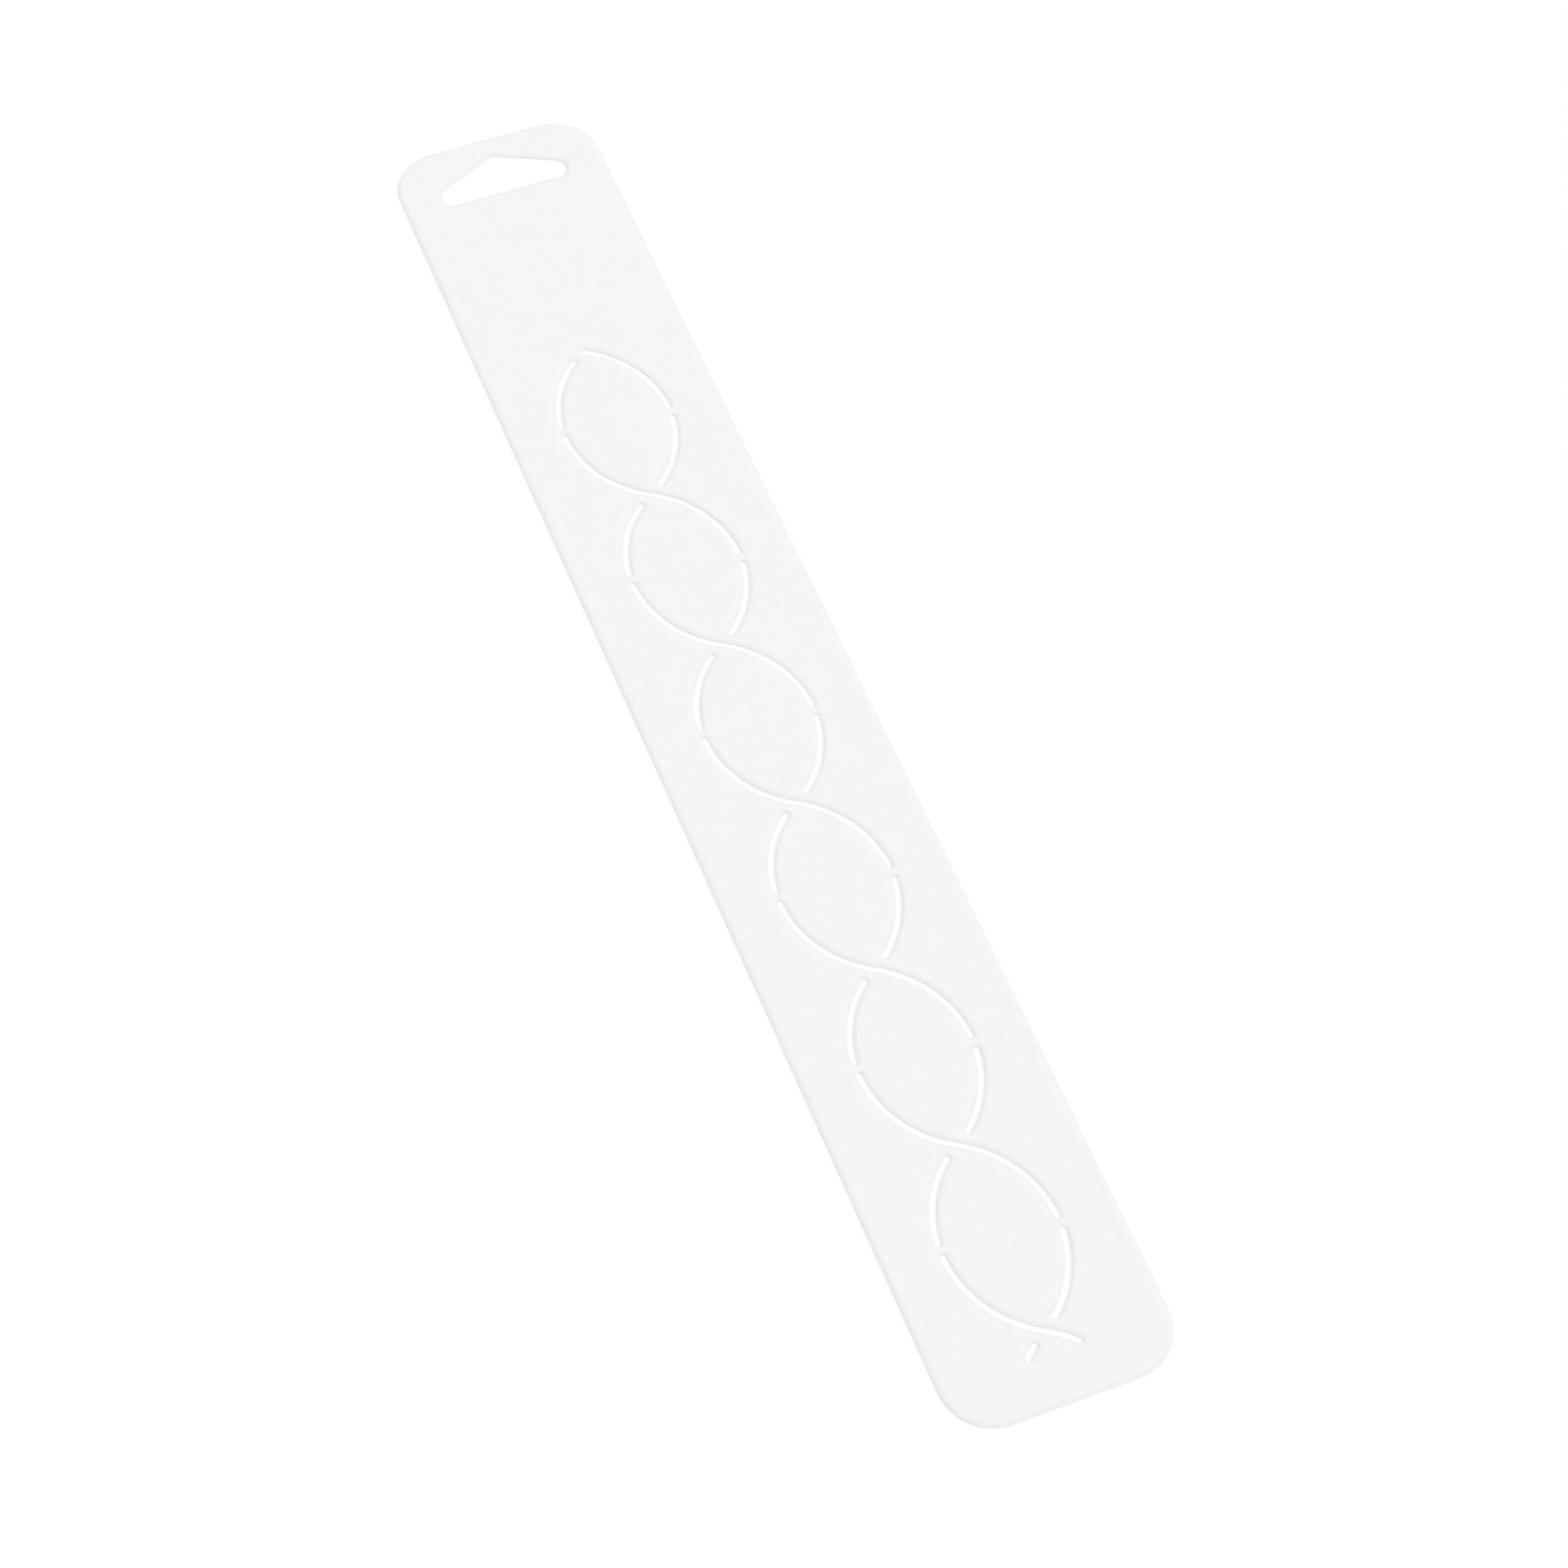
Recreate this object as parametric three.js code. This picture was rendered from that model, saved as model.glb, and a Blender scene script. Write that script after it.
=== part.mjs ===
// Quilting template: one flat sheet of milky plastic with a twisted cable cut through it as a stencil.
// The sheet lies on the fabric, and a pencil follows its slots to mark the line that is quilted.
// Millimetres. +X runs across the sheet, +Y along it towards the hanging end, +Z up out of its face.
// The origin is the middle of the underside.
import * as THREE from "three";

// Sheet
const sheetThickness = 0.5;
const cornerRadius = 15;
const sideMargin = 16.4; // plastic beside the cable, from its widest point to the sheet's long edge
const plainEnd = 90.65; // from the hanging end to the first crossing of the strands
const nearMargin = 14.5; // from the last slots to the sheet's near end

// Hang hole: a low triangle with its point towards the hanging end
const hangHoleWidth = 41.2;
const hangHoleHeight = 15.1;
const hangHoleMargin = 7.2; // from the hole's point to the sheet's end
const hangHoleTipRadius = 3.6;
const hangHolePointRadius = 3;

// Cable: two strands that bow out and cross once in each repeat, measured along the slots' middle lines
const repeatLength = 57.6;
const repeatCount = 6;
const cableWidth = 33.2;

// Slots, and the bridges of plastic that hold the sheet together between them
const slotWidth = 1.6;
const bowBridge = 2.5; // across a strand, at each repeat's widest point
const crossingBridge = 2.9; // between the under strand's slot and the over strand's, at a crossing
const bridgeOffset = 1.9; // along the strand, from a repeat's widest point to the middle of its bow bridge
const stubLength = 6; // the under strand's last short slot, below the last crossing

// Finish
const milkyWhite = 0xf1f1ef;
const satinRoughness = 0.55;
const arcDivisions = 6; // each round stretch is drawn in twice as many straight steps

// A bow is one strand's arc in one repeat, from crossing to crossing.
const bowRise = cableWidth / 2;
const bowRadius = ((repeatLength / 2) ** 2 + bowRise ** 2) / (2 * bowRise);
const crossingAngle = Math.asin(repeatLength / 2 / bowRadius);

// Angles along a bow, from its widest point. The strands lie over and under in turn, so the over strand's
// slot runs on through the crossing, and the under strand's slot stops a crossing bridge away from it.
const roundEndAngle = slotWidth / 2 / bowRadius;
const overEndAngle = (bridgeOffset - bowBridge / 2) / bowRadius;
const underStartAngle = (bridgeOffset + bowBridge / 2) / bowRadius;
const underStopLength = (crossingBridge + slotWidth / 2) / Math.sin(2 * crossingAngle);
const underStopAngle = crossingAngle - underStopLength / bowRadius;
const tailAngle = underStopAngle - stubLength / bowRadius;

// Both strands run on a little below the last crossing, and end level with each other.
const tailLength = repeatLength / 2 - bowRadius * Math.sin(tailAngle);
const sheetWidth = cableWidth + 2 * sideMargin;
const sheetLength = plainEnd + repeatCount * repeatLength + tailLength + nearMargin;
const firstCrossing = sheetLength / 2 - plainEnd;

function sheetOutline() {
  const outline = new THREE.Shape();
  const x = sheetWidth / 2 - cornerRadius;
  const y = sheetLength / 2 - cornerRadius;
  const quarter = Math.PI / 2;
  outline.absarc(x, y, cornerRadius, 0, quarter);
  outline.absarc(-x, y, cornerRadius, quarter, 2 * quarter);
  outline.absarc(-x, -y, cornerRadius, 2 * quarter, 3 * quarter);
  outline.absarc(x, -y, cornerRadius, 3 * quarter, 4 * quarter);
  outline.closePath();
  return outline;
}

// Three rounded corners joined by straight lines that touch them: two tips on the base, and the point.
function hangHole() {
  const point = sheetLength / 2 - hangHoleMargin;
  const base = point - hangHoleHeight;
  const tip = new THREE.Vector2(hangHoleWidth / 2 - hangHoleTipRadius, base + hangHoleTipRadius);
  const slope = new THREE.Vector2(0, point - hangHolePointRadius).sub(tip);
  const touch = slope.angle() - Math.acos((hangHoleTipRadius - hangHolePointRadius) / slope.length());
  const down = -Math.PI / 2;
  const outline = new THREE.Path();
  outline.absarc(tip.x, tip.y, hangHoleTipRadius, down, touch);
  outline.absarc(0, point - hangHolePointRadius, hangHolePointRadius, touch, Math.PI - touch);
  outline.absarc(-tip.x, tip.y, hangHoleTipRadius, Math.PI - touch, Math.PI - down);
  outline.closePath();
  return outline;
}

// One stretch of a bow on the right or left side of a repeat, between two angles from its widest point.
// The left bow is the right one turned half a turn about the repeat's middle.
function stretch(repeat, side, from, to) {
  const middle = firstCrossing - (repeat + 0.5) * repeatLength;
  const turn = side === "right" ? 0 : Math.PI;
  return {
    x: (bowRise - bowRadius) * Math.cos(turn),
    y: middle,
    from: turn + from,
    to: turn + to,
    clockwise: to < from,
  };
}

// A slot with full-round ends along one or more stretches, walked down its right side and back up its left.
function slot(stretches) {
  const half = slotWidth / 2;
  const outline = new THREE.Path();
  const side = (s, sign) => bowRadius + (s.clockwise ? -sign : sign) * half;
  const ahead = (s) => (s.clockwise ? -Math.PI / 2 : Math.PI / 2);
  const roundEnd = (s, angle, heading) => {
    const x = s.x + bowRadius * Math.cos(angle);
    const y = s.y + bowRadius * Math.sin(angle);
    outline.absarc(x, y, half, heading - Math.PI / 2, heading + Math.PI / 2);
  };
  for (const s of stretches) {
    outline.absarc(s.x, s.y, side(s, 1), s.from, s.to, s.clockwise);
  }
  const last = stretches.at(-1);
  roundEnd(last, last.to, last.to + ahead(last));
  for (const s of [...stretches].reverse()) {
    outline.absarc(s.x, s.y, side(s, -1), s.to, s.from, !s.clockwise);
  }
  const first = stretches[0];
  roundEnd(first, first.from, first.from + ahead(first) + Math.PI);
  outline.closePath();
  return outline;
}

// The over strand's slots: each comes down the left bow, through the crossing and out along the next right bow.
function overSlots() {
  const slots = [];
  const bowEnd = -overEndAngle + roundEndAngle;
  slots.push(slot([stretch(0, "right", crossingAngle, bowEnd)]));
  for (let repeat = 0; repeat < repeatCount; repeat += 1) {
    const isLast = repeat === repeatCount - 1;
    const stop = isLast ? tailAngle + roundEndAngle : bowEnd;
    const comesDown = stretch(repeat, "left", bowEnd, crossingAngle);
    const runsOn = stretch(repeat + 1, "right", crossingAngle, stop);
    slots.push(slot([comesDown, runsOn]));
  }
  return slots;
}

// The under strand's slots: one on each side of every repeat, and the stub below the last crossing.
function underSlots() {
  const slots = [];
  const from = -underStopAngle + roundEndAngle;
  const to = -underStartAngle - roundEndAngle;
  for (let repeat = 0; repeat < repeatCount; repeat += 1) {
    slots.push(slot([stretch(repeat, "left", from, to)]));
    slots.push(slot([stretch(repeat, "right", from, to)]));
  }
  slots.push(slot([stretch(repeatCount, "left", from, -tailAngle - roundEndAngle)]));
  return slots;
}

function templateSheet() {
  const outline = sheetOutline();
  outline.holes.push(hangHole(), ...overSlots(), ...underSlots());
  const geometry = new THREE.ExtrudeGeometry(outline, {
    depth: sheetThickness,
    bevelEnabled: false,
    curveSegments: arcDivisions,
  });
  const material = new THREE.MeshStandardMaterial({
    color: milkyWhite,
    roughness: satinRoughness,
    metalness: 0,
  });
  const mesh = new THREE.Mesh(geometry, material);
  mesh.name = "template_sheet";
  return mesh;
}

const quiltingTemplate = new THREE.Group();
quiltingTemplate.name = "quilting_template";
quiltingTemplate.add(templateSheet());

export default quiltingTemplate;
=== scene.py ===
import math
import bmesh
import bpy
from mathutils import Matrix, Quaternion, Vector
from mathutils.geometry import delaunay_2d_cdt


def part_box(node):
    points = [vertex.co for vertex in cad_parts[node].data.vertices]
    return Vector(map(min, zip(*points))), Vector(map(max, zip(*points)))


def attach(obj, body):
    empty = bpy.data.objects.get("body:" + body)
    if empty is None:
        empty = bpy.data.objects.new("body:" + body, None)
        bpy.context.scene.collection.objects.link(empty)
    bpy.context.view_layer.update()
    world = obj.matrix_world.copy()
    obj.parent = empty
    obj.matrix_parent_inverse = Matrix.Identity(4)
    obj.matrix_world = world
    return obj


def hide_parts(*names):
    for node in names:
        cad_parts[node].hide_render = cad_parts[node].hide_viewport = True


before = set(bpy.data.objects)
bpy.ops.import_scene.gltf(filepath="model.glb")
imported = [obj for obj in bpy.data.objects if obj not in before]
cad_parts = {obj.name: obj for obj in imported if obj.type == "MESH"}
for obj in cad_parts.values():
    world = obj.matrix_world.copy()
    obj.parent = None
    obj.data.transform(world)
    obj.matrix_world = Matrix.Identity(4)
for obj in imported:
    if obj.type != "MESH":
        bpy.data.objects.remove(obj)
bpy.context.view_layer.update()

mm = 0.001
quarterTurn = math.pi / 2
halfTurn = math.pi

# Stencil sheet, in millimetres and degrees. Its width, length and thickness are the solid's own.
sheet = {
    "cornerRadius": 15.0,
    "plainEnd": 90.65,  # from the hanging end to the first crossing of the strands
    "edgeClearance": 0.002,  # keeps the outer edge inside the solid's box
    "rollWidth": 1.45,  # the shoulder that cutting leaves: the upper face eases down towards each cut
    "rollAngle": 15.0,
    "rollSteps": 5,
    "endShoulder": 0.65,  # the share of the shoulder's width that is left round a slot's end
    "upperRound": 0.1,
    "lowerRound": 0.08,
    "roundSteps": 4,
    "chordError": 0.003,  # how far a straight step may leave the arc that it follows
    "mergeReach": 0.004,  # points this close become one
    "fillReach": 0.00004,  # and this close while a flat face is filled
    "hole": {"width": 41.2, "height": 15.1, "margin": 7.2, "tipRadius": 3.6, "pointRadius": 3.0},
    "repeatLength": 57.6,
    "repeatCount": 6,
    "cableWidth": 33.2,
    "slotWidth": 1.6,
    "bowBridge": 2.5,  # across a strand, at each repeat's widest point
    "crossingBridge": 2.9,
    "bridgeOffset": 1.9,  # from a repeat's widest point to the middle of its bow bridge
    "stubLength": 6.0,
}

lowCorner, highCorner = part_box("template_sheet")
sheetWidth, sheetLength, sheetThickness = (highCorner - lowCorner) / mm

# A bow is one strand's arc in one repeat, with angles measured from its widest point.
halfRepeat = sheet["repeatLength"] / 2
halfSlot = sheet["slotWidth"] / 2
bowRise = sheet["cableWidth"] / 2
bowRadius = (halfRepeat ** 2 + bowRise ** 2) / (2 * bowRise)
crossingAngle = math.asin(halfRepeat / bowRadius)
roundEndAngle = halfSlot / bowRadius
overEndAngle = (sheet["bridgeOffset"] - sheet["bowBridge"] / 2) / bowRadius
underStartAngle = (sheet["bridgeOffset"] + sheet["bowBridge"] / 2) / bowRadius
underStopLength = (sheet["crossingBridge"] + halfSlot) / math.sin(2 * crossingAngle)
underStopAngle = crossingAngle - underStopLength / bowRadius
tailAngle = underStopAngle - sheet["stubLength"] / bowRadius
firstCrossing = sheetLength / 2 - sheet["plainEnd"]

# The shoulder is an arc that starts level and ends at the roll's angle.
rollLean = math.radians(sheet["rollAngle"])
rollDepth = sheet["rollWidth"] * math.tan(rollLean / 2)


def around(centre, radius, angle):
    return Vector((centre[0] + radius * math.cos(angle), centre[1] + radius * math.sin(angle), 0.0))


def heading(angle, sweep):
    return around((0, 0), math.copysign(1.0, sweep), angle + quarterTurn)


# Carries the section of an edge on in a straight line, or round a centre, and leaves a wall behind it.
def run(bm, section, shift):
    made = bmesh.ops.spin(bm, geom=section, axis=(0, 0, 1), dvec=(*shift, 0.0), angle=0.0, steps=1)
    return made["geom_last"]


def turn(bm, section, centre, angle):
    radius = math.hypot(section[0].co.x - centre[0], section[0].co.y - centre[1])
    stepAngle = 2 * math.acos(1 - sheet["chordError"] / radius)
    steps = math.ceil(abs(angle) / stepAngle)
    pivot = (centre[0], centre[1], 0.0)
    made = bmesh.ops.spin(bm, geom=section, cent=pivot, axis=(0, 0, 1), angle=angle, steps=steps)
    return made["geom_last"]


# The section of a cut edge, facing away from the plastic: the shoulder, a round, the wall and a round.
def startSection(bm, at, facing):
    outward = Vector((math.cos(facing), math.sin(facing), 0.0))
    along = (-math.sin(facing), math.cos(facing), 0.0)
    upper, lower = sheet["upperRound"], sheet["lowerRound"]
    rollRadius = rollDepth / (1 - math.cos(rollLean))
    rollInset = sheet["rollWidth"] + upper * (1 - math.sin(rollLean))
    upperHeight = sheetThickness - rollDepth - upper * math.cos(rollLean)
    rollCentre = at - outward * rollInset + Vector((0, 0, sheetThickness - rollRadius))
    upperCentre = at - outward * upper + Vector((0, 0, upperHeight))
    lowerCentre = at - outward * lower + Vector((0, 0, lower))
    wall = (0.0, 0.0, lower - upperHeight)
    end = [bm.verts.new(rollCentre + Vector((0, 0, rollRadius)))]
    for centre, angle, steps in [(rollCentre, rollLean, sheet["rollSteps"]),
                                 (upperCentre, quarterTurn - rollLean, sheet["roundSteps"])]:
        end = bmesh.ops.spin(bm, geom=end, cent=centre, axis=along, angle=angle, steps=steps)["geom_last"]
    end = bmesh.ops.spin(bm, geom=end, axis=along, dvec=wall, angle=0.0, steps=1)["geom_last"]
    bmesh.ops.spin(bm, geom=end, cent=lowerCentre, axis=along, angle=quarterTurn, steps=sheet["roundSteps"])
    return bm.verts[:] + bm.edges[:]


def cutSheetEdge(bm):
    radius = sheet["cornerRadius"]
    x = sheetWidth / 2 - sheet["edgeClearance"] - radius
    y = sheetLength / 2 - sheet["edgeClearance"] - radius
    section = startSection(bm, Vector((x + radius, -y, 0)), 0.0)
    for cornerX, cornerY, shift in [(x, y, (0, 2 * y)), (-x, y, (-2 * x, 0)),
                                    (-x, -y, (0, -2 * y)), (x, -y, (2 * x, 0))]:
        section = run(bm, section, shift)
        section = turn(bm, section, (cornerX, cornerY), quarterTurn)


# A low triangle: two tips on its base and a point towards the hanging end, joined by lines that touch them.
def cutHangHole(bm):
    hole = sheet["hole"]
    tipRadius, pointRadius = hole["tipRadius"], hole["pointRadius"]
    tipX = hole["width"] / 2 - tipRadius
    pointY = sheetLength / 2 - hole["margin"] - pointRadius
    tipY = pointY + pointRadius - hole["height"] + tipRadius
    slope = Vector((-tipX, pointY - tipY))
    touch = math.atan2(slope.y, slope.x) - math.acos((tipRadius - pointRadius) / slope.length)
    tipTurn = touch + quarterTurn
    rise = around((0, pointY), pointRadius, touch) - around((tipX, tipY), tipRadius, touch)
    section = startSection(bm, around((tipX, tipY), tipRadius, -quarterTurn), quarterTurn)
    section = turn(bm, section, (tipX, tipY), tipTurn)
    section = run(bm, section, rise.xy)
    section = turn(bm, section, (0, pointY), halfTurn - 2 * touch)
    section = run(bm, section, (rise.x, -rise.y))
    section = turn(bm, section, (-tipX, tipY), tipTurn)
    run(bm, section, (2 * tipX, 0))


# One stretch of a bow. The left bow is the right one turned half a turn about the repeat's middle.
def stretch(repeat, side, start, stop):
    lean = 0.0 if side == "right" else halfTurn
    middle = firstCrossing - (repeat + 0.5) * sheet["repeatLength"]
    centre = ((bowRise - bowRadius) * math.cos(lean), middle)
    return {"centre": centre, "start": lean + start, "sweep": stop - start}


# The shoulder is narrower round a slot's end, so that two ends leave a flat on the bridge between them.
def narrowEnd(bm, centre, ahead):
    for vert in bm.verts:
        offset = vert.co - centre
        forward, reach = offset.dot(ahead), offset.xy.length
        if forward > 0 and reach > halfSlot:
            vert.co -= ahead * forward * (1 - halfSlot / reach) * (1 - sheet["endShoulder"])


# A slot with round ends, walked down its right side and back up its left.
def cutSlot(bm, stretches):
    first, last = stretches[0], stretches[-1]
    firstAngle, lastAngle = first["start"], last["start"] + last["sweep"]
    firstEnd = around(first["centre"], bowRadius, firstAngle)
    lastEnd = around(last["centre"], bowRadius, lastAngle)
    side = math.copysign(halfSlot, first["sweep"])
    facing = firstAngle + (halfTurn if side > 0 else 0.0)
    section = startSection(bm, around(first["centre"], bowRadius + side, firstAngle), facing)
    for bow in stretches:
        section = turn(bm, section, bow["centre"], bow["sweep"])
    section = turn(bm, section, lastEnd, halfTurn)
    for bow in reversed(stretches):
        section = turn(bm, section, bow["centre"], -bow["sweep"])
    turn(bm, section, firstEnd, halfTurn)
    narrowEnd(bm, firstEnd, -heading(firstAngle, first["sweep"]))
    narrowEnd(bm, lastEnd, heading(lastAngle, last["sweep"]))


# The over strand's slots run on through each crossing, and the under strand's stop a bridge away from it.
def cableSlots():
    repeats = sheet["repeatCount"]
    bowEnd = roundEndAngle - overEndAngle
    slots = [[stretch(0, "right", crossingAngle, bowEnd)]]
    for repeat in range(repeats):
        stop = tailAngle + roundEndAngle if repeat == repeats - 1 else bowEnd
        comesDown = stretch(repeat, "left", bowEnd, crossingAngle)
        runsOn = stretch(repeat + 1, "right", crossingAngle, stop)
        slots.append([comesDown, runsOn])
    underStop, underStart = roundEndAngle - underStopAngle, -underStartAngle - roundEndAngle
    for repeat in range(repeats):
        slots.append([stretch(repeat, "left", underStop, underStart)])
        slots.append([stretch(repeat, "right", underStop, underStart)])
    slots.append([stretch(repeats, "left", underStop, -tailAngle - roundEndAngle)])
    return slots


# Each cut is walked in a bmesh of its own, closed with a cap above and below, and added to the whole.
def addCut(whole, cut, *shape):
    bm = bmesh.new()
    cut(bm, *shape)
    bmesh.ops.remove_doubles(bm, verts=bm.verts[:], dist=sheet["mergeReach"])
    for face in bm.faces:
        face.smooth = True
        face.material_index = 1  # the cut edge's plastic
    bmesh.ops.holes_fill(bm, edges=[edge for edge in bm.edges if edge.is_boundary], sides=0)
    bmesh.ops.recalc_face_normals(bm, faces=bm.faces[:])
    mesh = bpy.data.meshes.new("cut")
    bm.to_mesh(mesh)
    bm.free()
    whole.from_mesh(mesh)
    bpy.data.meshes.remove(mesh)


# A flat face is the first cap, the sheet's own, with the caps of the holes left out of it.
def fillFlat(bm, z):
    level = [face for face in bm.faces if abs(face.verts[0].co.z - z) < sheet["mergeReach"]]
    caps = [face for face in level if len(face.verts) > 4]  # a wall's faces have four corners
    verts = list(dict.fromkeys(vert for cap in caps for vert in cap.verts))
    number = {vert: i for i, vert in enumerate(verts)}
    loops = [[number[vert] for vert in cap.verts] for cap in caps]
    loops = [loop if cap.normal.z > 0 else loop[::-1] for loop, cap in zip(loops, caps)]
    points = [vert.co.xy for vert in verts]
    insideOnly = 1
    filled = delaunay_2d_cdt(points, [], loops, insideOnly, sheet["fillReach"])
    _, _, corners, cornerSource, _, within = filled
    for face, inside in zip(corners, within):
        if inside == [0]:  # in the sheet's own cap and in no hole's
            bm.faces.new([verts[cornerSource[corner][0]] for corner in face])
    bmesh.ops.delete(bm, geom=caps, context="FACES_ONLY")


def makeSheet():
    bm = bmesh.new()
    addCut(bm, cutSheetEdge)
    addCut(bm, cutHangHole)
    for slot in cableSlots():
        addCut(bm, cutSlot, slot)
    fillFlat(bm, sheetThickness)
    fillFlat(bm, 0.0)
    bmesh.ops.recalc_face_normals(bm, faces=bm.faces[:])
    bmesh.ops.scale(bm, verts=bm.verts[:], vec=(mm, mm, mm))
    openEdges = sum(len(edge.link_faces) != 2 for edge in bm.edges)
    mesh = bpy.data.meshes.new("stencil_sheet")
    bm.to_mesh(mesh)
    bm.free()
    print("sheet:", len(mesh.polygons), "faces,", openEdges, "open edges")
    return mesh


def placePiece(name, mesh):
    piece = bpy.data.objects.new(name, mesh)
    bpy.context.scene.collection.objects.link(piece)
    return piece


# Shader nodes. A value is a number, a colour or the socket that feeds it.
def addNode(tree, kind, values, **settings):
    node = tree.nodes.new(kind)
    for name, value in settings.items():
        setattr(node, name, value)
    for socket, value in values.items():
        if isinstance(value, bpy.types.NodeSocket):
            tree.links.new(value, node.inputs[socket])
        else:
            node.inputs[socket].default_value = value
    return node


def combine(tree, operation, first, second):
    return addNode(tree, "ShaderNodeMath", {0: first, 1: second}, operation=operation).outputs["Value"]


def spread(tree, value, fromMin, fromMax, toMin, toMax):
    values = {"Value": value, "From Min": fromMin, "From Max": fromMax, "To Min": toMin, "To Max": toMax}
    return addNode(tree, "ShaderNodeMapRange", values).outputs["Result"]


# A Mix node has sockets of the same names for each kind of data, so its colours are told by their numbers.
def mixColors(tree, share, first, second):
    values = {"Factor": share, 6: first, 7: second}
    return addNode(tree, "ShaderNodeMix", values, data_type="RGBA").outputs[2]


def noise(tree, where, scale, detail):
    values = {"Vector": where, "Scale": scale, "Detail": detail}
    return addNode(tree, "ShaderNodeTexNoise", values).outputs["Fac"]


def stretched(tree, where, scale, angle=0.0):
    values = {"Vector": where, "Scale": scale, "Rotation": (0.0, 0.0, angle)}
    return addNode(tree, "ShaderNodeMapping", values).outputs["Vector"]


def onPiece(tree):
    return addNode(tree, "ShaderNodeTexCoord", {}).outputs["Object"]


# A node group with its sockets: a name and a first value for each input, and the kind of each output.
def startGroup(name, inputs, outputs):
    tree = bpy.data.node_groups.new(name, "ShaderNodeTree")
    for label, value in inputs.items():
        kind = "NodeSocketFloat" if isinstance(value, float) else "NodeSocketColor"
        tree.interface.new_socket(label, in_out="INPUT", socket_type=kind).default_value = value
    for label, kind in outputs.items():
        tree.interface.new_socket(label, in_out="OUTPUT", socket_type=kind)
    return tree, tree.nodes.new("NodeGroupInput").outputs, tree.nodes.new("NodeGroupOutput")


def addGroup(tree, group, values):
    return addNode(tree, "ShaderNodeGroup", values, node_tree=group).outputs


# The sheet's plastic, in metres and radians. Milk, skin and scuffs are the inputs of their node groups.
milkyFace = {
    "scatterReach": 0.0003,
    "milk": {"Pale": (0.94, 0.94, 0.94, 1.0), "Deep": (0.911, 0.911, 0.911, 1.0), "Cloud Scale": 32.0,
             "Mottle Scale": 260.0, "Cloud Share": 0.5, "Grain Scale": 2400.0},
    "milkRange": (0.6, 1.4),  # what the noises add up to, from the palest milk to the deepest
    "skin": {"Grain Scale": 3600.0, "Peel Scale": 620.0, "Line Scale": 900.0, "Roughness": 0.68,
             "Spread": 0.16},
    "lineStretch": (1.0, 0.012, 1.0),  # draws the rollers' lines out along the sheet
    "scuffs": {"Scale": 55.0, "Share": 0.5},
    "scuffAngles": (0.5, -1.1),
    "scuffStretch": (1.0, 30.0, 1.0),  # makes a hairline of a round spot
    "scuffRim": (0.03, 0.09),  # where a mark starts to fade and where it ends, in cells
    "patchScale": 26.0,
    "patchRange": (0.45, 0.65),
    "scuffRoughness": 0.14,
    "bumpStrength": 0.6,
    "bumpDistance": 0.00003,
}


# The milk in the plastic: broad faint clouds, a mottle where its filler lies unevenly, and a grain.
def makeMilkClouds():
    tree, given, out = startGroup("milkClouds", milkyFace["milk"], {"Color": "NodeSocketColor"})
    where = onPiece(tree)
    clouds = noise(tree, where, given["Cloud Scale"], detail=2.0)
    mottle = noise(tree, where, given["Mottle Scale"], detail=3.0)
    grain = noise(tree, where, given["Grain Scale"], detail=1.0)
    broad = combine(tree, "MULTIPLY", combine(tree, "ADD", clouds, mottle), given["Cloud Share"])
    depth = spread(tree, combine(tree, "ADD", broad, grain), *milkyFace["milkRange"], 0.0, 1.0)
    tree.links.new(mixColors(tree, depth, given["Pale"], given["Deep"]), out.inputs["Color"])
    return tree


# The satin skin: a fine grain, a shallow orange peel and faint lines that rollers drew along the sheet.
def makeSatinSkin():
    outputs = {"Height": "NodeSocketFloat", "Roughness": "NodeSocketFloat"}
    tree, given, out = startGroup("satinSkin", milkyFace["skin"], outputs)
    where = onPiece(tree)
    grain = noise(tree, where, given["Grain Scale"], detail=2.0)
    peel = noise(tree, where, given["Peel Scale"], detail=1.0)
    drawn = stretched(tree, where, milkyFace["lineStretch"])
    lines = noise(tree, drawn, given["Line Scale"], detail=2.0)
    coarse = combine(tree, "ADD", peel, lines)
    height = combine(tree, "ADD", coarse, grain)
    uneven = combine(tree, "SUBTRACT", coarse, 1.0)  # the mean of two noises, of 0.5 each, taken off
    swing = combine(tree, "MULTIPLY", uneven, given["Spread"])
    tree.links.new(height, out.inputs["Height"])
    tree.links.new(combine(tree, "ADD", swing, given["Roughness"]), out.inputs["Roughness"])
    return tree


# Scuffs from laying the sheet down and sliding it: hairlines of 1 to 3 mm in two directions, in patches.
def makeScuffs():
    tree, given, out = startGroup("scuffs", milkyFace["scuffs"], {"Mask": "NodeSocketFloat"})
    where = onPiece(tree)
    cloud = noise(tree, where, milkyFace["patchScale"], detail=1.0)
    patches = spread(tree, cloud, *milkyFace["patchRange"], 0.0, 1.0)
    marks = 0.0
    for angle in milkyFace["scuffAngles"]:
        drawn = stretched(tree, where, milkyFace["scuffStretch"], angle)
        values = {"Vector": drawn, "Scale": given["Scale"]}
        cells = addNode(tree, "ShaderNodeTexVoronoi", values, voronoi_dimensions="2D")
        thin = spread(tree, cells.outputs["Distance"], *milkyFace["scuffRim"], 1.0, 0.0)
        marks = combine(tree, "MAXIMUM", thin, marks)
    mask = combine(tree, "MULTIPLY", combine(tree, "MULTIPLY", marks, patches), given["Share"])
    tree.links.new(mask, out.inputs["Mask"])
    return tree


def startPlastic(name):
    material = bpy.data.materials.new(name)
    material.use_nodes = True
    tree = material.node_tree
    shader = tree.nodes["Principled BSDF"]
    shader.inputs["Subsurface Weight"].default_value = 1.0
    shader.inputs["Subsurface Radius"].default_value = (1.0, 1.0, 1.0)
    shader.inputs["Subsurface Scale"].default_value = milkyFace["scatterReach"]
    return material, tree, shader


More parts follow.
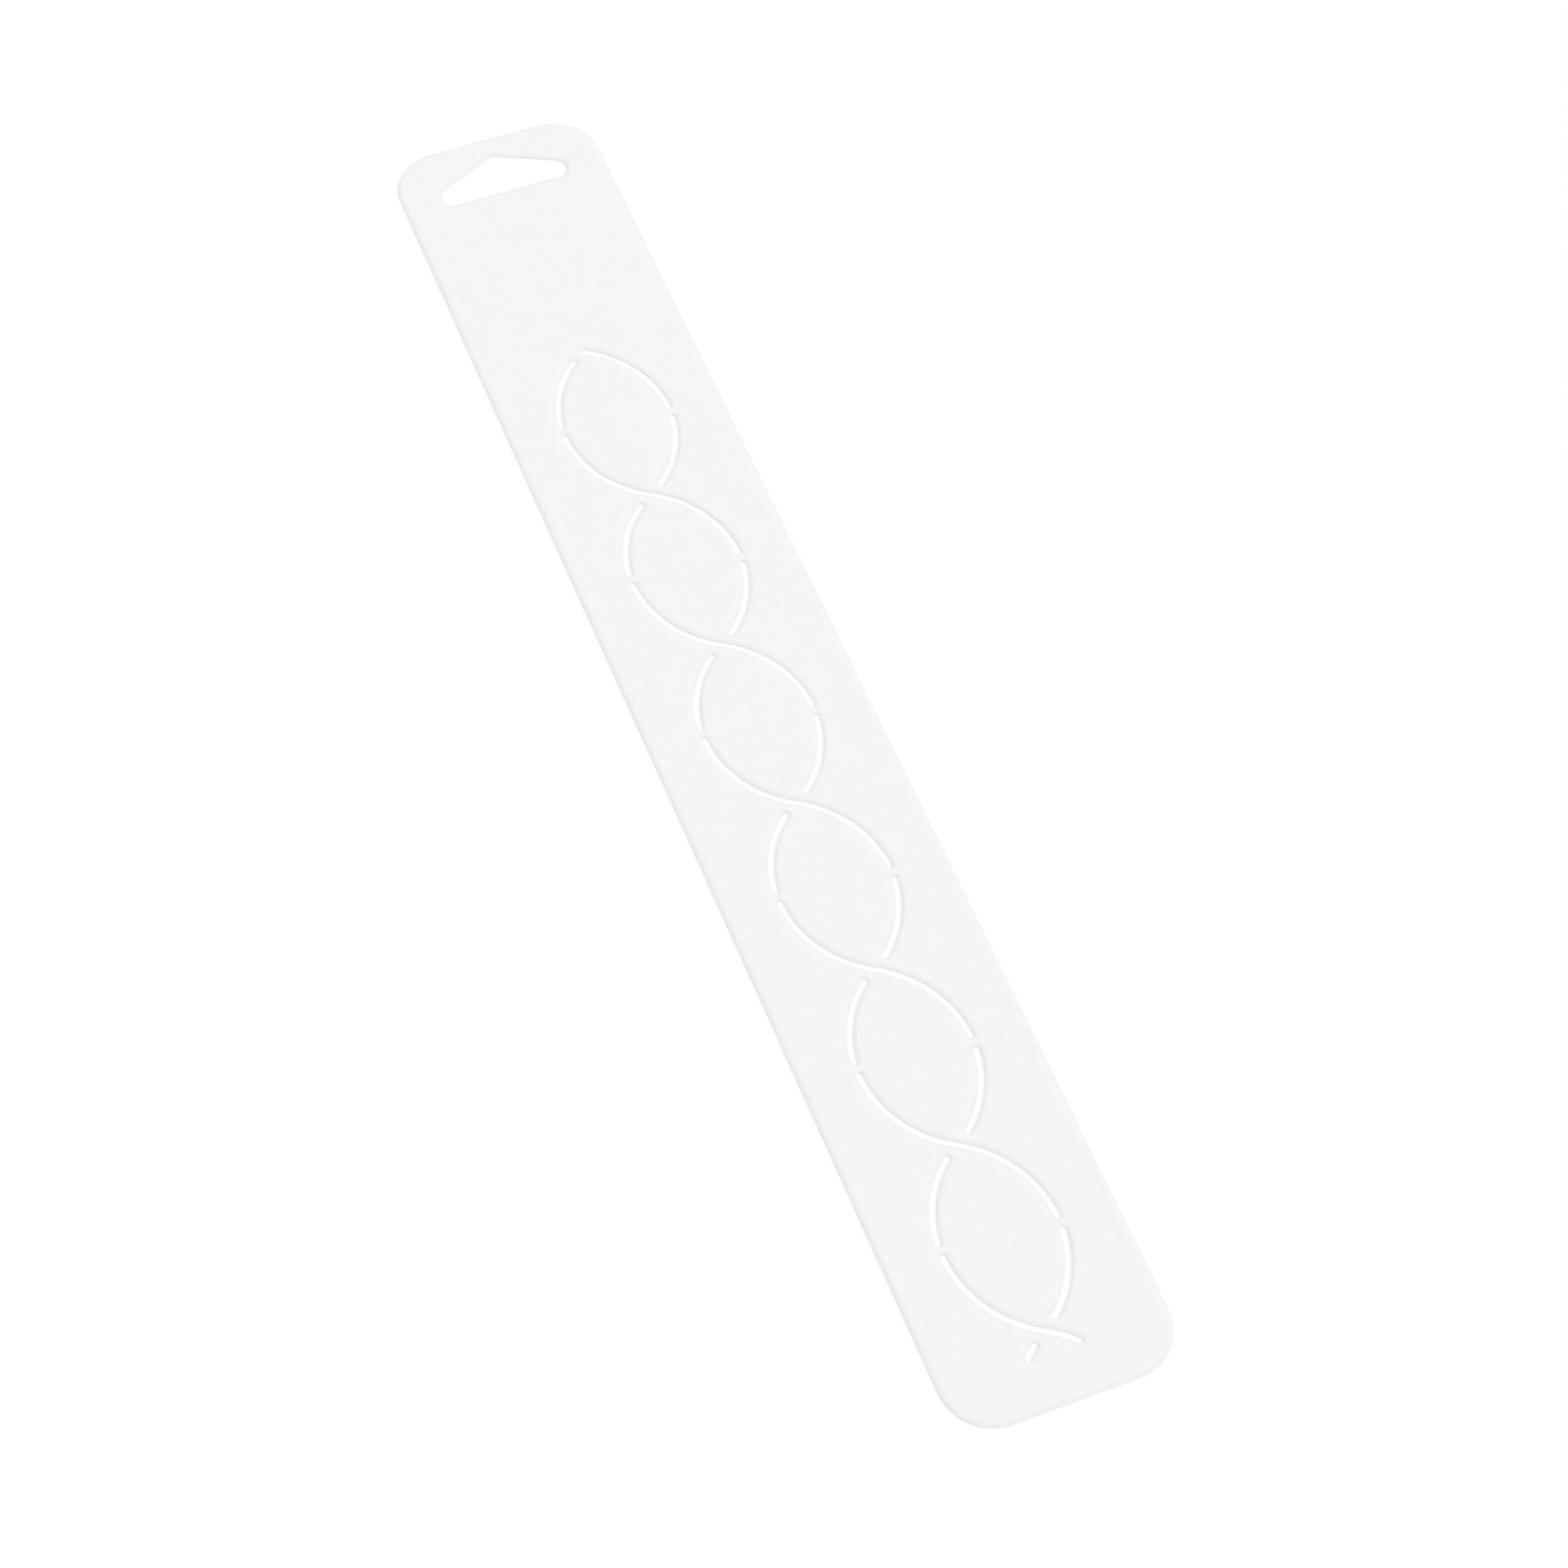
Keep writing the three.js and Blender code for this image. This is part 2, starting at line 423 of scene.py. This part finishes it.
def finishPlastic(tree, shader, look, color, roughness, height):
    values = {"Height": height, "Strength": look["bumpStrength"], "Distance": look["bumpDistance"]}
    bump = addNode(tree, "ShaderNodeBump", values)
    tree.links.new(color, shader.inputs["Base Color"])
    tree.links.new(roughness, shader.inputs["Roughness"])
    tree.links.new(bump.outputs["Normal"], shader.inputs["Normal"])


def makeMilkyFace(groups):
    material, tree, shader = startPlastic("milkyFace")
    milk = addGroup(tree, groups["milk"], milkyFace["milk"])
    skin = addGroup(tree, groups["skin"], milkyFace["skin"])
    scuffs = addGroup(tree, groups["scuffs"], milkyFace["scuffs"])
    rougher = combine(tree, "MULTIPLY", scuffs["Mask"], milkyFace["scuffRoughness"])
    roughness = combine(tree, "ADD", skin["Roughness"], rougher)
    height = combine(tree, "SUBTRACT", skin["Height"], scuffs["Mask"])
    finishPlastic(tree, shader, milkyFace, milk["Color"], roughness, height)
    return material


cutEdge = {
    "skin": {"Grain Scale": 3600.0, "Peel Scale": 620.0, "Line Scale": 900.0, "Roughness": 0.64,
             "Spread": 0.12},
    "shoulderShade": (0.85, 0.85, 0.85, 1.0),  # painted shade: darker towards the cut, for the light that the milky plastic loses through its cut
    "wall": (0.97, 0.97, 0.97, 1.0),  # painted light: the cut wall is painted paler than the skin, for the light that comes through the milky plastic
    "wallReach": 0.00008,
    "cutLineScale": (4200.0, 4200.0, 160.0),
    "bumpStrength": 0.6,
    "bumpDistance": 0.00003,
}


# The cut edge starts as the face's own plastic at the top of its shoulder, and changes with the height:
# painted shade darkens the shoulder towards the cut, and painted light makes the wall paler.
def makeCutEdge(groups):
    material, tree, shader = startPlastic("cutEdge")
    milk = addGroup(tree, groups["milk"], milkyFace["milk"])
    skin = addGroup(tree, groups["skin"], cutEdge["skin"])
    where = onPiece(tree)
    height = addNode(tree, "ShaderNodeSeparateXYZ", {"Vector": where}).outputs["Z"]
    top = sheetThickness * mm
    low = top - rollDepth * mm
    fall = spread(tree, height, top, low, 0.0, 1.0)
    shadeShare = combine(tree, "POWER", fall, 0.5)  # the share of painted shade: on a round shoulder a root grows evenly towards the cut
    onWall = spread(tree, height, low, low - cutEdge["wallReach"], 0.0, 1.0)
    # painted shade: the shoulder is painted darker towards the cut
    shoulderShade = mixColors(tree, shadeShare, milk["Color"], cutEdge["shoulderShade"])
    # painted light: the wall below the shoulder is painted paler
    color = mixColors(tree, onWall, shoulderShade, cutEdge["wall"])
    cutLines = noise(tree, stretched(tree, where, cutEdge["cutLineScale"]), scale=1.0, detail=1.0)
    relief = combine(tree, "ADD", skin["Height"], combine(tree, "MULTIPLY", cutLines, onWall))
    finishPlastic(tree, shader, cutEdge, color, skin["Roughness"], relief)
    return material


# Floor and light, in metres and degrees
studio = {
    "floorSize": 12.0,
    "floorDrop": 0.00005,  # keeps the floor just clear of the underside
    "floorColor": (0.96, 0.96, 0.96, 1.0),
    "floorGlow": 0.043,  # brings what is seen of the floor up to white
    "worldLight": 0.74,  # each light's share of what falls on the sheet
    "keyLight": 0.24,
    "keyAzimuth": -4.0,
    "keyElevation": 37.0,
    "keyAngle": 130.0,  # how wide the lamp looks from the sheet
}


# The way from the sheet to a lamp or the camera. The azimuth goes from +X towards +Y.
def direction(azimuth, elevation):
    level = math.cos(math.radians(elevation))
    x = math.cos(math.radians(azimuth)) * level
    y = math.sin(math.radians(azimuth)) * level
    return Vector((x, y, math.sin(math.radians(elevation))))


# The white of the floor and the sky is for what the camera sees, directly or in a gloss or glass.
def seenAsWhite(tree):
    path = addNode(tree, "ShaderNodeLightPath", {}).outputs
    direct = combine(tree, "MAXIMUM", path["Is Camera Ray"], path["Is Glossy Ray"])
    return combine(tree, "MAXIMUM", direct, path["Is Transmission Ray"])


def makeFloor():
    bm = bmesh.new()
    bmesh.ops.create_grid(bm, x_segments=1, y_segments=1, size=studio["floorSize"] / 2)
    bmesh.ops.translate(bm, verts=bm.verts[:], vec=(0, 0, -studio["floorDrop"]))
    mesh = bpy.data.meshes.new("studio_floor")
    bm.to_mesh(mesh)
    bm.free()
    material = bpy.data.materials.new("paleFloor")
    material.use_nodes = True
    tree = material.node_tree
    tree.nodes.clear()
    paint = addNode(tree, "ShaderNodeBsdfDiffuse", {"Color": studio["floorColor"]})
    strength = combine(tree, "MULTIPLY", seenAsWhite(tree), studio["floorGlow"])
    glow = addNode(tree, "ShaderNodeEmission", {"Strength": strength})
    both = addNode(tree, "ShaderNodeAddShader", {0: paint.outputs["BSDF"], 1: glow.outputs["Emission"]})
    addNode(tree, "ShaderNodeOutputMaterial", {"Surface": both.outputs["Shader"]})
    mesh.materials.append(material)
    placePiece("studio_floor", mesh)


def makeKeyLight():
    towards = direction(studio["keyAzimuth"], studio["keyElevation"])
    data = bpy.data.lights.new("key", "SUN")
    data.energy = studio["keyLight"] * math.pi / math.sin(math.radians(studio["keyElevation"]))
    data.angle = math.radians(studio["keyAngle"])
    lamp = bpy.data.objects.new("key", data)
    lamp.location = towards
    lamp.rotation_mode = "QUATERNION"
    lamp.rotation_quaternion = towards.to_track_quat("Z", "Y")
    lamp.visible_camera = False
    bpy.context.scene.collection.objects.link(lamp)


def makeWorldLight():
    world = bpy.data.worlds.new("studio")
    world.use_nodes = True
    tree = world.node_tree
    tree.nodes.clear()
    strength = spread(tree, seenAsWhite(tree), 0.0, 1.0, studio["worldLight"], 1.0)
    sky = addNode(tree, "ShaderNodeBackground", {"Color": (1, 1, 1, 1), "Strength": strength})
    addNode(tree, "ShaderNodeOutputWorld", {"Surface": sky.outputs["Background"]})
    bpy.context.scene.world = world


# Camera, where the photograph was taken from, in metres and degrees
photoCamera = {
    "aim": (-0.0009, -0.02759, -0.0003),
    "azimuth": -115.41,
    "elevation": 57.85,
    "roll": 4.11,
    "distance": 1.0615,
    "lens": 85.9,  # millimetres
}


def makeCamera():
    back = direction(photoCamera["azimuth"], photoCamera["elevation"])
    data = bpy.data.cameras.new("photo_camera")
    data.lens = photoCamera["lens"]
    camera = bpy.data.objects.new("photo_camera", data)
    camera.location = Vector(photoCamera["aim"]) + back * photoCamera["distance"]
    camera.rotation_mode = "QUATERNION"
    roll = Quaternion((0, 0, 1), math.radians(photoCamera["roll"]))
    camera.rotation_quaternion = back.to_track_quat("Z", "Y") @ roll
    bpy.context.scene.collection.objects.link(camera)
    bpy.context.scene.camera = camera


stencil = placePiece("stencil_sheet", makeSheet())
effects = {"milk": makeMilkClouds(), "skin": makeSatinSkin(), "scuffs": makeScuffs()}
for makePlastic in (makeMilkyFace, makeCutEdge):
    stencil.data.materials.append(makePlastic(effects))
print("plastic:", ", ".join(slot.name for slot in stencil.data.materials))
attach(stencil, "root")
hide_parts("template_sheet")
makeFloor()
makeKeyLight()
makeWorldLight()
makeCamera()
bpy.context.scene.view_settings.view_transform = "Standard"
print("studio: floor, key light, world light and camera")
